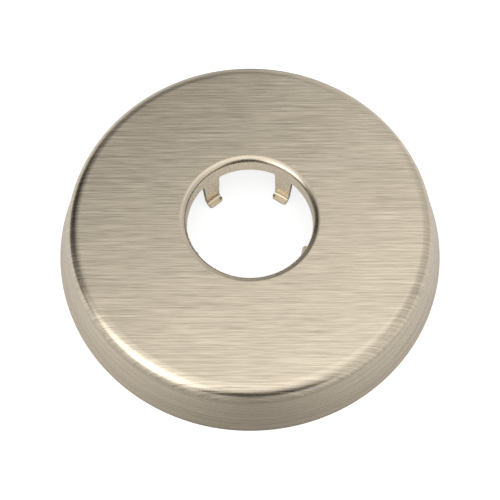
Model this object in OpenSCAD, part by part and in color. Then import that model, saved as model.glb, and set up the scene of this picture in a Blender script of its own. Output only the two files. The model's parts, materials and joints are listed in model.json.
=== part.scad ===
// Shower arm flange: a round cover pressed from one sheet of metal. It slides along
// a shower arm and hides the hole in the wall that the arm comes out of.
// Millimetres. The wall is the plane z = 0, and the arm runs along the z axis.
// The one sheet runs from the base rim up the side wall, over the shoulder, across
// the flat face and down through the hole as a short collar. Spring fingers go on
// from the collar's lower edge and end in toes that are bent in to grip the pipe.

/* [Dish] */
// Outside diameter of the base rim, which lies against the wall
base_d = 70; // [60:0.5:120]
// Height of the flat face above the wall
face_h = 10.8; // [9.5:0.1:20]
// Thickness of the sheet
sheet_t = 0.75; // [0.5:0.05:1]
// How far the side wall spreads out on its way from the crease down to the base rim
side_spread = 2.8; // [0:0.1:6]
// Radius inside the bend at the shoulder, between the side wall and the face
shoulder_bend = 1.85; // [0.5:0.05:4]

/* [Pipe hole] */
// Outside diameter of the pipe that the flange slides on
pipe_d = 21.34; // [18:0.01:28]
// Gap between the pipe and the collar, all round
pipe_gap = 0.48; // [0.2:0.02:1.5]
// Radius inside the bend at the lip of the hole
lip_bend = 0.35; // [0.1:0.05:1]
// Length of the collar, from the face to its lower edge
collar_l = 3.5; // [2.6:0.1:5]

/* [Spring fingers] */
// Number of fingers, evenly spaced
finger_n = 5; // [2:1:7]
// Angle of the first finger, from the x axis
finger_start = 57; // [0:1:90]
// Width of a finger where it leaves the collar
root_w = 3.5; // [3:0.1:4.5]
// Width of a finger at its toe
toe_w = 2.9; // [2:0.1:3]
// Radius of the fillet between a finger and the collar's lower edge
root_fillet = 0.5; // [0.2:0.05:0.8]
// How far a relaxed finger leans in from the collar's wall, where its toe's bend starts
finger_lean = 0.15; // [0.05:0.05:0.5]
// Radius inside the bend where a finger turns in to its toe
toe_bend = 0.5; // [0.2:0.05:0.8]
// How far the relaxed toes reach inside the surface of the pipe
toe_bite = 0.9; // [0.6:0.05:1.5]
// Radius of the toe's corners, seen from above
toe_corner = 0.5; // [0.2:0.05:0.9]
// Gap between the wall and the underside of the toes
toe_gap = 0.2; // [0:0.05:1]

/* [Hidden] */
// Number of sides that a round form is drawn with: each one is a true arc
$fn = 96;
// How far a cutting shape runs past what it cuts
over = 1;
// Radii in the plan
base_r = base_d / 2;
pipe_r = pipe_d / 2;
hole_r = pipe_r + pipe_gap;
collar_r = hole_r + sheet_t;
toe_r = pipe_r - toe_bite;
// How far out the shapes that outline a finger run, past the cut that leaves it standing
reach = collar_r + 2 * over;
// The shoulder's arc stands upright at the crease, where the sloped side wall starts
shoulder_r = shoulder_bend + sheet_t;
crease_z = face_h - shoulder_r;
crease_r = base_r - side_spread;
arc_x = crease_r - shoulder_r;
// Centre of the lip's arc
lip_r = lip_bend + sheet_t;
lip_x = hole_r + lip_r;
lip_z = face_h - lip_r;
// Height of the collar's lower edge
collar_z = face_h - collar_l;
// Centre of the toe's bend
bend_x = hole_r - finger_lean - toe_bend;
bend_z = toe_gap + sheet_t + toe_bend;
// Angle by which a finger's sides close in towards its toe
taper = atan((root_w - toe_w) / 2 / (collar_z - bend_z));
// Centre of the fillet at a finger's root. It stands this share of its radius off both
// edges that it joins, so that its arc runs into them instead of only touching them
fillet_hold = 0.97;
fillet_z = collar_z - fillet_hold * root_fillet;
fillet_x = half_w(fillet_z) + fillet_hold * root_fillet / cos(taper);

// Half width of a finger at height z
function half_w(z) = toe_w / 2 + (z - bend_z) * tan(taper);

// Radius of the side wall at height z, at a depth into the sheet from its outside
function side_x(z, depth) = crease_r - depth + (crease_z - z) * side_spread / crease_z;

// All of the section that lies deeper in the sheet than this, down to the height low
module under_skin(depth, low) {
    polygon([
        [0, low],
        [side_x(low, depth), low],
        [crease_r - depth, crease_z],
        [arc_x, crease_z],
        [arc_x, face_h - depth],
        [0, face_h - depth]
    ]);
    translate([arc_x, crease_z]) circle(r = shoulder_r - depth);
}

// A quarter of a bend in the sheet, on the side of its centre that the signs give
module bend(x, z, inside, x_sign, z_sign) {
    size = inside + sheet_t + over;
    translate([x, z]) intersection() {
        difference() {
            circle(r = inside + sheet_t);
            circle(r = inside);
        }
        translate([x_sign < 0 ? -size : 0, z_sign < 0 ? -size : 0]) square(size);
    }
}

// Side wall, shoulder and flat face
module dish_section() {
    difference() {
        under_skin(0, 0);
        under_skin(sheet_t, -over);
        translate([-over, -over]) square([lip_x + over, face_h + 2 * over]);
    }
}

// Lip, collar and the skirt that the fingers are cut from, down to the toes
module skirt_section() {
    bend(lip_x, lip_z, lip_bend, -1, 1);
    polygon([
        [hole_r, lip_z],
        [hole_r, collar_z],
        [hole_r - finger_lean, bend_z],
        [collar_r - finger_lean, bend_z],
        [collar_r, collar_z],
        [collar_r, lip_z]
    ]);
    bend(bend_x, bend_z, toe_bend, 1, -1);
    translate([toe_r - over, toe_gap]) square([bend_x - toe_r + over, sheet_t]);
}

// A finger seen from the axis: its tapered sides, flared at the root by a fillet
module finger_front() {
    root_x = root_w / 2;
    toe_x = toe_w / 2;
    polygon([
        [-toe_x, -over], [toe_x, -over], [toe_x, bend_z], [root_x, collar_z],
        [root_x, collar_z + over], [-root_x, collar_z + over],
        [-root_x, collar_z], [-toe_x, bend_z]
    ]);
    for (side = [0, 1]) mirror([side, 0]) difference() {
        translate([0, fillet_z]) square([fillet_x, collar_z + over - fillet_z]);
        translate([fillet_x, fillet_z]) circle(r = root_fillet);
    }
}

// A finger seen from above: straight across the toe's end, with rounded corners
module finger_plan() {
    corner_y = toe_w / 2 - toe_corner;
    translate([toe_r + toe_corner, -root_w]) square([reach - toe_r - toe_corner, 2 * root_w]);
    translate([toe_r, -corner_y]) square([toe_corner, 2 * corner_y]);
    for (side = [-1, 1]) translate([toe_r + toe_corner, side * corner_y]) circle(r = toe_corner);
}

// The block that a finger is left standing in, on the x axis
module finger_keep() {
    intersection() {
        rotate([90, 0, 90]) linear_extrude(reach) finger_front();
        translate([0, 0, -over]) linear_extrude(collar_z + 2 * over) finger_plan();
    }
}

// The whole pressing: the sheet revolved down to the toes, and the skirt then cut away
// between the fingers
module flange() {
    color([0.77, 0.72, 0.64]) difference() {
        rotate_extrude() {
            dish_section();
            skirt_section();
        }
        difference() {
            translate([0, 0, -over]) cylinder(r = collar_r + over, h = collar_z + over);
            for (i = [0 : finger_n - 1]) rotate(finger_start + i * 360 / finger_n) finger_keep();
        }
    }
}

flange();
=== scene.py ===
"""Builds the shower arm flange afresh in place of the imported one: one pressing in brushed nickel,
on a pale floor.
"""

import json
import math

import bmesh
import bpy
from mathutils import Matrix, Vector

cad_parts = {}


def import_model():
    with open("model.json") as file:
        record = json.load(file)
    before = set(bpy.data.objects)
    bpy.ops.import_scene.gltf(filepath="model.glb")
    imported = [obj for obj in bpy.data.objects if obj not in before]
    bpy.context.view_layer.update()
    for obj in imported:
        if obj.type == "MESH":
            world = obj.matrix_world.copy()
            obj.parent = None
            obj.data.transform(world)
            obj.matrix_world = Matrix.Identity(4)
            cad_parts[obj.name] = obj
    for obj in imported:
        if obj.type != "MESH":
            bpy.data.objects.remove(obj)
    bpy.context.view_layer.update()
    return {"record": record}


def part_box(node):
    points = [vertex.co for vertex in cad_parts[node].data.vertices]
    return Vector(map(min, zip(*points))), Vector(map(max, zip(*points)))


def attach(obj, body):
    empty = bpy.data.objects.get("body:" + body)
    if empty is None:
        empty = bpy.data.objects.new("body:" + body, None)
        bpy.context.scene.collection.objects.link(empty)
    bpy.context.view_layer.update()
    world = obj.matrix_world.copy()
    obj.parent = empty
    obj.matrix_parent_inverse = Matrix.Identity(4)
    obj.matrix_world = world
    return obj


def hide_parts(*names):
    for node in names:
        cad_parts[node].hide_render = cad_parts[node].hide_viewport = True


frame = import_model()

# Sizes, in metres. What the frame states is read from it; the rest repeats the part's source.
MM = 0.001
mounts = {m["name"]: m for m in frame["record"]["mounts"]}
low_corner, high_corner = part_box("flange")
BASE_R = high_corner.x
FACE_Z = high_corner.z
HOLE_R = mounts["pipe_bore"]["dims"]["r_mm"] * MM
SHEET = 0.75 * MM
SIDE_SPREAD = 2.8 * MM
SHOULDER_R = 2.6 * MM
LIP_R = 1.1 * MM
COLLAR_L = 3.5 * MM
FINGERS = 5
FIRST_FINGER = math.radians(57)
ROOT_W = 3.5 * MM
TOE_W = 2.9 * MM
ROOT_FILLET = 0.5 * MM
FINGER_LEAN = 0.15 * MM
TOE_BEND = 0.5 * MM
TOE_R = 9.77 * MM
TOE_CORNER = 0.5 * MM
TOE_GAP = 0.2 * MM
EDGE_BREAK = 0.06 * MM

# Worked out from those, as in the part's source
COLLAR_R = HOLE_R + SHEET
CREASE_R = BASE_R - SIDE_SPREAD
CREASE_Z = FACE_Z - SHOULDER_R
ARC_R = CREASE_R - SHOULDER_R
LIP_C = HOLE_R + LIP_R
LIP_Z = FACE_Z - LIP_R
COLLAR_Z = FACE_Z - COLLAR_L
BEND_R = HOLE_R - FINGER_LEAN - TOE_BEND
BEND_Z = TOE_GAP + SHEET + TOE_BEND

# Colour of the nickel, and how far the brushing varies its roughness
NICKEL = (0.71, 0.62, 0.485)
ROUGH_SPREAD = 0.06

# The finishes, in the order of the material slots: name, fine and broad brush lines as features
# per metre along each axis, contrast, direction across the lines, roughness, and how far
# highlights are drawn out across the lines
FINISHES = [
    ("brushed_face", (230, 9500, 0), (60, 4600, 0), 0.5, (0, 1, 0), 0.25, 0.6),
    ("brushed_side", (60, 60, 9000), (12, 12, 4200), 0.34, (0, 0, 1), 0.28, 0.5),
    ("satin_bore", (900, 900, 900), (150, 150, 150), 0.06, (0, 0, 1), 0.26, 0),
    ("satin_back", (900, 900, 900), (150, 150, 150), 0.1, (0, 0, 1), 0.4, 0),
]

# The studio as the metal sees it: a plain level, and on it soft lights and dark gaps, each with
# its azimuth from X, its elevation and half its width, in degrees, and its strength
ROOM_LEVEL = 0.62
STUDIO = [
    (268, 80, 50, 0.6),
    (120, 40, 44, -0.45),
    (45, 50, 40, 0.06),
    (222, 24, 38, 1.75),
    (165, 12, 44, -0.52),
    (273, 2, 38, -2.2),
    (322, 25, 36, 0.22),
]
SKY_LEVEL = 1.3

# The floor: half its width, its shade and its own light to the camera, and the painted shade of
# its reflection in the metal: before the middle of the flange, out at its sides, the width it fades
# over, and painted light in the hole
FLOOR_HALF = 2.0
FLOOR_SHADE = 0.35
FLOOR_GLOW = 0.82
# Painted shade and painted light that only the metal's reflections show, not the floor's own colour
FLOOR_PAINTED_REFLECTION_SHADE = (0.3, 0.62)
FLOOR_PAINTED_SHADE_FADE = 45 * MM
FLOOR_PAINTED_HOLE_LIGHT = 1.0

# The camera: how high it looks from, how far it stands from the point it aims at, its focal
# length as a share of its sensor's width, that width in its own millimetres, and the nearest
# thing it shows
VIEW_ELEVATION = math.radians(66.14)
VIEW_DISTANCE = 156.9 * MM
VIEW_AIM = Vector((0, -1.63 * MM, 0))
FOCAL = 1.702
SENSOR = 36
NEAREST = 1 * MM

# Edges of the mesh that turn more than these are kept sharp along the crease, and broken
KINK_ANGLE = math.radians(10)
BREAK_ANGLE = math.radians(50)

# Material slots of the pressing, by what was done to that stretch of its surface
FACE, SIDE, BORE, BACK = range(4)


def line(start, end, steps):
    """Points of the section along a straight stretch, ends included."""
    return [tuple(a + (b - a) * i / steps for a, b in zip(start, end)) for i in range(steps + 1)]


def arc(centre, radius, start, end, steps):
    """Points of the section along an arc; angles in degrees, from outwards towards up."""
    angles = [math.radians(start + (end - start) * i / steps) for i in range(steps + 1)]
    return [(centre[0] + radius * math.cos(a), centre[1] + radius * math.sin(a)) for a in angles]


def chain(*stretches):
    """Stretches of (material, points) end to end, as points and the material of each step."""
    points, materials = [stretches[0][1][0]], []
    for material, run in stretches:
        points += run[1:]
        materials += [material] * (len(run) - 1)
    return points, materials


def outside_section():
    """From the base rim up and over to the start of the collar."""
    return chain(
        (SIDE, line((BASE_R, 0), (CREASE_R, CREASE_Z), 10)),
        (FACE, arc((ARC_R, CREASE_Z), SHOULDER_R, 0, 90, 28)),
        (FACE, line((ARC_R, FACE_Z), (LIP_C, FACE_Z), 10)),
        (BORE, arc((LIP_C, LIP_Z), LIP_R, 90, 180, 14)),
    )


def inside_section():
    """From the collar's outside, along the back of the sheet, to the base rim."""
    return chain(
        (BACK, arc((LIP_C, LIP_Z), LIP_R - SHEET, 180, 90, 8)),
        (BACK, line((LIP_C, FACE_Z - SHEET), (ARC_R, FACE_Z - SHEET), 8)),
        (BACK, arc((ARC_R, CREASE_Z), SHOULDER_R - SHEET, 90, 0, 16)),
        (BACK, line((CREASE_R - SHEET, CREASE_Z), (BASE_R - SHEET, 0), 6)),
    )


def half_width(z):
    """Half the width of a finger at height z."""
    share = max(0.0, (z - BEND_Z) / (COLLAR_Z - BEND_Z))
    return (TOE_W + (ROOT_W - TOE_W) * share) / 2


def lean(z):
    """How far in from the collar's wall a finger stands at height z."""
    return FINGER_LEAN * max(0.0, (COLLAR_Z - z) / (COLLAR_Z - BEND_Z))


TAPER = math.atan((ROOT_W - TOE_W) / 2 / (COLLAR_Z - BEND_Z))
FILLET_Z = COLLAR_Z - ROOT_FILLET
FILLET_U = half_width(FILLET_Z) + ROOT_FILLET / math.cos(TAPER)
TOUCH_Z = FILLET_Z + ROOT_FILLET * math.sin(TAPER)


def toe_stations():
    """Places across the toe, dense round its corners: u runs along the toe's width."""
    corner_u = TOE_W / 2 - TOE_CORNER
    corner = [corner_u + TOE_CORNER * math.sin(math.radians(a)) for a in (15, 30, 45, 60, 75, 90)]
    middle = [corner_u * i / 3 for i in range(-3, 4)]
    return [-u for u in reversed(corner)] + middle + corner


def toe_end(u):
    """How far from the axis the toe ends at u."""
    past = max(0.0, abs(u) - (TOE_W / 2 - TOE_CORNER))
    return TOE_R + TOE_CORNER - math.sqrt(max(0.0, TOE_CORNER**2 - past**2))


def columns(gap_steps=44, fillet_steps=6):
    """One sector's columns, from a finger's first side on: each has its angle on the
    outside and on the back of the sheet, and the height of the collar's edge there."""
    def at(u, edge_z):
        return math.asin(u / HOLE_R), math.asin(u / COLLAR_R), edge_z

    stations = toe_stations()
    root = half_width(TOUCH_Z) / stations[-1]
    finger = [at(u * root, TOUCH_Z) for u in stations]
    start = math.degrees(TAPER)
    fillet = []
    for i in range(1, fillet_steps + 1):
        a = math.radians(start + (90 - start) * i / fillet_steps)
        fillet.append(at(FILLET_U - ROOT_FILLET * math.cos(a), FILLET_Z + ROOT_FILLET * math.sin(a)))
    sector = 2 * math.pi / FINGERS
    gap = []
    for i in range(1, gap_steps):
        share = i / gap_steps
        gap.append(tuple(a + (sector - 2 * a) * share for a in fillet[-1][:2]) + (COLLAR_Z,))
    next_fillet = [(sector - a, sector - b, z) for a, b, z in reversed(fillet)]
    return finger + fillet + gap + next_fillet, len(finger)


class Skin:
    """Vertices and quads of the pressing while it is put together."""

    def __init__(self):
        self.vertices = []
        self.faces = []
        self.materials = []

    def point(self, radius, z, angle):
        self.vertices.append((radius * math.cos(angle), radius * math.sin(angle), z))
        return len(self.vertices) - 1

    def tongue_point(self, x, u, z, angle):
        """A point x out from the axis and u across, in a finger's own frame."""
        c, s = math.cos(angle), math.sin(angle)
        self.vertices.append((x * c - u * s, x * s + u * c, z))
        return len(self.vertices) - 1

    def quads(self, one, two, materials):
        """Faces between two neighbouring lists of vertices."""
        for i, material in enumerate(materials):
            self.faces.append((one[i], one[i + 1], two[i + 1], two[i]))
            self.materials.append(material)

    def quad(self, corners, material):
        self.faces.append(corners)
        self.materials.append(material)


COLLAR_STEPS = 6


def dish_column(skin, turn, column):
    """One column of the dish and collar: lists of vertices on the outside and the back."""
    outer_angle, back_angle, edge_z = column
    outside, _ = outside_section()
    inside, _ = inside_section()
    outer = [skin.point(r, z, turn + outer_angle) for r, z in outside]
    for i in range(1, COLLAR_STEPS + 1):
        z = LIP_Z + (edge_z - LIP_Z) * i / COLLAR_STEPS
        outer.append(skin.point(HOLE_R - lean(z), z, turn + outer_angle))
    back = []
    for i in range(COLLAR_STEPS):
        z = edge_z + (LIP_Z - edge_z) * i / COLLAR_STEPS
        back.append(skin.point(COLLAR_R - lean(z), z, turn + back_angle))
    for r, z in inside:
        share = (r - COLLAR_R) / (BASE_R - SHEET - COLLAR_R)
        back.append(skin.point(r, z, turn + back_angle + (outer_angle - back_angle) * share))
    return outer, back


def finger(skin, turn, outer_row, back_row):
    """Carries a finger on from the collar's edge down to its toe."""
    stations = toe_stations()
    half_toe = stations[-1]
    inner_rows, outer_rows = [outer_row], [back_row]

    def ring(inner_r, inner_z, outer_r, outer_z):
        rows = []
        for r, z in ((inner_r, inner_z), (outer_r, outer_z)):
            wide = half_width(z) / half_toe
            us = [u * wide for u in stations]
            rows.append([skin.tongue_point(math.sqrt(r * r - u * u), u, z, turn) for u in us])
        inner_rows.append(rows[0])
        outer_rows.append(rows[1])

    for _, z in line((0, TOUCH_Z), (0, BEND_Z), 8)[1:]:
        ring(HOLE_R - lean(z), z, COLLAR_R - lean(z), z)
    inner_arc = arc((BEND_R, BEND_Z), TOE_BEND, 0, -90, 8)
    outer_arc = arc((BEND_R, BEND_Z), TOE_BEND + SHEET, 0, -90, 8)
    for (a, b), (c, d) in zip(inner_arc[1:], outer_arc[1:]):
        ring(a, b, c, d)
    for step in range(1, 5):
        for rows, z in ((inner_rows, TOE_GAP + SHEET), (outer_rows, TOE_GAP)):
            row = []
            for u in stations:
                bend_x = math.sqrt(BEND_R**2 - u * u)
                x = bend_x + (toe_end(u) - bend_x) * step / 4
                row.append(skin.tongue_point(x, u, z, turn))
            rows.append(row)
    across = [BORE] * (len(stations) - 1)
    for rows in (inner_rows, outer_rows):
        for one, two in zip(rows, rows[1:]):
            skin.quads(one, two, across)
    for side in (0, -1):
        edge = [row[side] for row in inner_rows], [row[side] for row in outer_rows]
        skin.quads(*edge, [BORE] * (len(inner_rows) - 1))
    skin.quads(inner_rows[-1], outer_rows[-1], across)


def pressing():
    """The whole flange as one closed mesh."""
    skin = Skin()
    sector_columns, finger_columns = columns()
    _, outside_materials = outside_section()
    _, inside_materials = inside_section()
    outside_materials += [BORE] * COLLAR_STEPS
    inside_materials = [BACK] * COLLAR_STEPS + inside_materials
    made = []
    for i in range(FINGERS):
        turn = FIRST_FINGER + i * 2 * math.pi / FINGERS
        made += [dish_column(skin, turn, c) for c in sector_columns]
    for k, (outer, back) in enumerate(made):
        next_outer, next_back = made[(k + 1) % len(made)]
        skin.quads(outer, next_outer, outside_materials)
        skin.quads(back, next_back, inside_materials)
        skin.quad((back[-1], next_back[-1], next_outer[0], outer[0]), BACK)
        if k % len(sector_columns) >= finger_columns - 1:
            skin.quad((outer[-1], next_outer[-1], next_back[0], back[0]), BORE)
    for i in range(FINGERS):
        turn = FIRST_FINGER + i * 2 * math.pi / FINGERS
        first = i * len(sector_columns)
        own = made[first:first + finger_columns]
        finger(skin, turn, [outer[-1] for outer, _ in own], [back[0] for _, back in own])
    mesh = bpy.data.meshes.new("flange_pressing")
    mesh.from_pydata(skin.vertices, [], skin.faces)
    mesh.polygons.foreach_set("material_index", skin.materials)
    work = bmesh.new()
    work.from_mesh(mesh)
    bmesh.ops.recalc_face_normals(work, faces=work.faces)
    for edge in work.edges:
        at_crease = all(abs(v.co.z - CREASE_Z) < EDGE_BREAK / 10 for v in edge.verts)
        kinked = edge.is_manifold and edge.calc_face_angle() > KINK_ANGLE
        edge.smooth = not (at_crease and kinked)
    work.to_mesh(mesh)
    work.free()
    return mesh


def add(tree, kind, **settings):
    """A new node with the attributes given."""
    made = tree.nodes.new(kind)
    for name, value in settings.items():
        setattr(made, name, value)
    return made


def arithmetic(tree, operation, *values):
    """The result of a math node; each value is a number or an output of another node."""
    made = add(tree, "ShaderNodeMath", operation=operation)
    for socket, value in zip(made.inputs, values):
        if isinstance(value, bpy.types.NodeSocket):
            tree.links.new(value, socket)
        else:
            socket.default_value = value
    return made.outputs[0]


def remap(tree, value, low, high, smooth=False, span=(0, 1)):
    """Takes the range span of a value to the range from low to high."""
    made = add(tree, "ShaderNodeMapRange", interpolation_type="SMOOTHSTEP" if smooth else "LINEAR")
    for socket, number in zip(list(made.inputs)[1:5], span + (low, high)):
        socket.default_value = number
    tree.links.new(value, made.inputs[0])
    return made.outputs[0]


def grain(tree, lines, detail=2):
    """Noise drawn out into brush lines: lines is how many features fit in a metre, per axis."""
    place = add(tree, "ShaderNodeTexCoord")
    stretch = add(tree, "ShaderNodeMapping")
    noise = add(tree, "ShaderNodeTexNoise")
    stretch.inputs["Scale"].default_value = lines
    noise.inputs["Scale"].default_value = 1
    noise.inputs["Detail"].default_value = detail
    tree.links.new(place.outputs["Object"], stretch.inputs["Vector"])
    tree.links.new(stretch.outputs["Vector"], noise.inputs["Vector"])
    return noise.outputs["Fac"]


def metal(name, fine, broad, contrast, across, roughness, stretch):
    """Nickel with brush lines in two sizes. Its highlights are drawn out across the lines."""
    material = bpy.data.materials.new(name)
    material.use_nodes = True
    tree = material.node_tree
    shader = tree.nodes["Principled BSDF"]
    shader.inputs["Metallic"].default_value = 1
    shader.inputs["Anisotropic"].default_value = stretch
    lines = arithmetic(tree, "ADD", grain(tree, fine), grain(tree, broad))
    shade = remap(tree, lines, 1 - contrast, 1 + contrast, span=(0.5, 1.5))
    tint = add(tree, "ShaderNodeVectorMath", operation="SCALE")
    tint.inputs[0].default_value = NICKEL
    tree.links.new(shade, tint.inputs["Scale"])
    tree.links.new(tint.outputs[0], shader.inputs["Base Color"])
    rough = remap(tree, lines, roughness - ROUGH_SPREAD, roughness + ROUGH_SPREAD, span=(0.5, 1.5))
    tree.links.new(rough, shader.inputs["Roughness"])
    direction = add(tree, "ShaderNodeCombineXYZ")
    for socket, value in zip(direction.inputs, across):
        socket.default_value = value
    tree.links.new(direction.outputs[0], shader.inputs["Tangent"])
    return material


def camera():
    """Looks down at the flange as the photograph does."""
    data = bpy.data.cameras.new("camera")
    data.sensor_width = SENSOR
    data.lens = FOCAL * SENSOR
    data.clip_start = NEAREST
    back = Vector((0, -math.cos(VIEW_ELEVATION), math.sin(VIEW_ELEVATION)))
    made = bpy.data.objects.new("camera", data)
    made.location = VIEW_AIM + back * VIEW_DISTANCE
    made.rotation_euler = (math.pi / 2 - VIEW_ELEVATION, 0, 0)
    bpy.context.scene.collection.objects.link(made)
    bpy.context.scene.camera = made


def studio_light(tree, toward):
    """Brightness of the studio in a direction: soft lights and dark gaps on a plain level."""
    total = ROOM_LEVEL
    for azimuth, elevation, half_angle, strength in STUDIO:
        a, e = math.radians(azimuth), math.radians(elevation)
        centre = Vector((math.cos(e) * math.cos(a), math.cos(e) * math.sin(a), math.sin(e)))
        near = add(tree, "ShaderNodeVectorMath", operation="DOT_PRODUCT")
        near.inputs[1].default_value = centre
        tree.links.new(toward, near.inputs[0])
        edge = math.cos(math.radians(half_angle))
        light = remap(tree, near.outputs["Value"], 0, strength, True, (edge, 1))
        total = arithmetic(tree, "ADD", total, light)
    return arithmetic(tree, "MAXIMUM", total, 0)


def world():
    """White where the camera looks, and the studio where the metal does."""
    made = bpy.data.worlds.new("studio")
    bpy.context.scene.world = made
    made.use_nodes = True
    tree = made.node_tree
    background = tree.nodes["Background"]
    toward = add(tree, "ShaderNodeTexCoord").outputs["Generated"]
    ray = add(tree, "ShaderNodeLightPath")
    seen = add(tree, "ShaderNodeMix")
    tree.links.new(ray.outputs["Is Glossy Ray"], seen.inputs["Factor"])
    seen.inputs["A"].default_value = SKY_LEVEL
    tree.links.new(studio_light(tree, toward), seen.inputs["B"])
    background.inputs["Color"].default_value = (1, 1, 1, 1)
    tree.links.new(seen.outputs[0], background.inputs["Strength"])


def floor():
    """A pale floor: white to the camera but for the shadow; in the metal a painted reflection,
    greyer before the flange and with painted light in the hole.
    """
    mesh = bpy.data.meshes.new("floor")
    half = FLOOR_HALF
    corners = [(-half, -half, 0), (half, -half, 0), (half, half, 0), (-half, half, 0)]
    mesh.from_pydata(corners, [], [(0, 1, 2, 3)])
    material = bpy.data.materials.new("floor")
    material.use_nodes = True
    tree = material.node_tree
    shader = tree.nodes["Principled BSDF"]
    shader.inputs["Roughness"].default_value = 1
    shader.inputs["Specular IOR Level"].default_value = 0
    ray = add(tree, "ShaderNodeLightPath")
    place = add(tree, "ShaderNodeTexCoord")
    axes = add(tree, "ShaderNodeSeparateXYZ")
    tree.links.new(place.outputs["Object"], axes.inputs[0])
    # Painted reflection, seen only by glossy rays: darker near the line through the flange's middle,
    # brighter in the hole, so the metal shows painted shade and painted light
    sideways = arithmetic(tree, "ABSOLUTE", axes.outputs["X"])
    painted_front_shade = remap(tree, sideways, *FLOOR_PAINTED_REFLECTION_SHADE, True, (0, FLOOR_PAINTED_SHADE_FADE))
    reach = add(tree, "ShaderNodeVectorMath", operation="LENGTH")
    tree.links.new(place.outputs["Object"], reach.inputs[0])
    painted_hole_light = remap(tree, reach.outputs["Value"], FLOOR_PAINTED_HOLE_LIGHT, 0, True, (HOLE_R, 2 * HOLE_R))
    painted_reflection_tone = arithmetic(tree, "MAXIMUM", painted_front_shade, painted_hole_light)
    shade = add(tree, "ShaderNodeMix")
    tree.links.new(ray.outputs["Is Glossy Ray"], shade.inputs["Factor"])
    shade.inputs["A"].default_value = FLOOR_SHADE
    tree.links.new(painted_reflection_tone, shade.inputs["B"])
    grey = add(tree, "ShaderNodeCombineXYZ")
    for socket in grey.inputs:
        tree.links.new(shade.outputs[0], socket)
    tree.links.new(grey.outputs[0], shader.inputs["Base Color"])
    shader.inputs["Emission Color"].default_value = (1, 1, 1, 1)
    glow = remap(tree, ray.outputs["Is Camera Ray"], 0, FLOOR_GLOW)
    tree.links.new(glow, shader.inputs["Emission Strength"])
    mesh.materials.append(material)
    made = bpy.data.objects.new("floor", mesh)
    bpy.context.scene.collection.objects.link(made)


piece = bpy.data.objects.new("flange_pressing", pressing())
bpy.context.scene.collection.objects.link(piece)
for settings in FINISHES:
    piece.data.materials.append(metal(*settings))
bevel = piece.modifiers.new("edge_break", "BEVEL")
bevel.width = EDGE_BREAK
bevel.segments = 2
bevel.limit_method = "ANGLE"
bevel.angle_limit = BREAK_ANGLE
bevel.use_clamp_overlap = False
weighted = piece.modifiers.new("normals", "WEIGHTED_NORMAL")
weighted.keep_sharp = True
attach(piece, "root")
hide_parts("flange")
camera()
world()
floor()
bpy.context.scene.view_settings.view_transform = "Standard"
